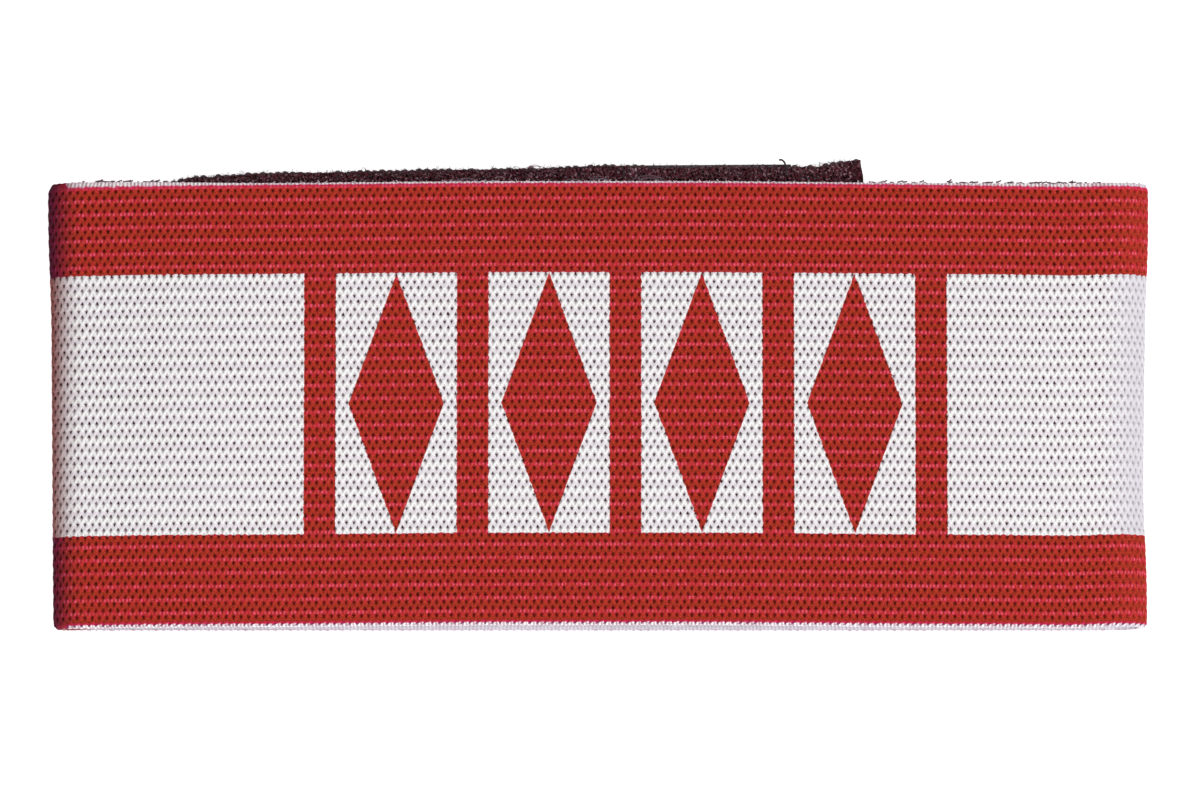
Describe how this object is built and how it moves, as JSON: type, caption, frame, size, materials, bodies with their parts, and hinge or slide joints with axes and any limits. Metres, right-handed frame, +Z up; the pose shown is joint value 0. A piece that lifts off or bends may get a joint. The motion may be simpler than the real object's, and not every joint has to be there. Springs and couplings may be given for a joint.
{
  "type": "captain armband",
  "caption": "Knitted elastic sports armband with two edge stripes, closed by a hook-and-loop tab and lying flat on its back.",
  "frame": {"origin": "middle of the outline, seen from above, on the surface that the armband lies on", "axes": "+X along the band to the picture's right, +Y up the band's height, +Z up from the surface to the striped front"},
  "size_m": [0.1728, 0.0742, 0.013],
  "materials": {
    "striped_elastic": "matt white warp-knitted elastic, printed red along both edges",
    "loop_pile": "fuzzy black looped pile",
    "hook_plastic": "black nylon hooks on a woven backing",
    "black_elastic": "matt black-brown knitted elastic"
  },
  "bodies": {
    "root": {"elastic_band": "striped_elastic", "loop_patch": "loop_pile", "hook_tape": "hook_plastic", "closure_tab": "black_elastic"}
  },
  "joints": []
}
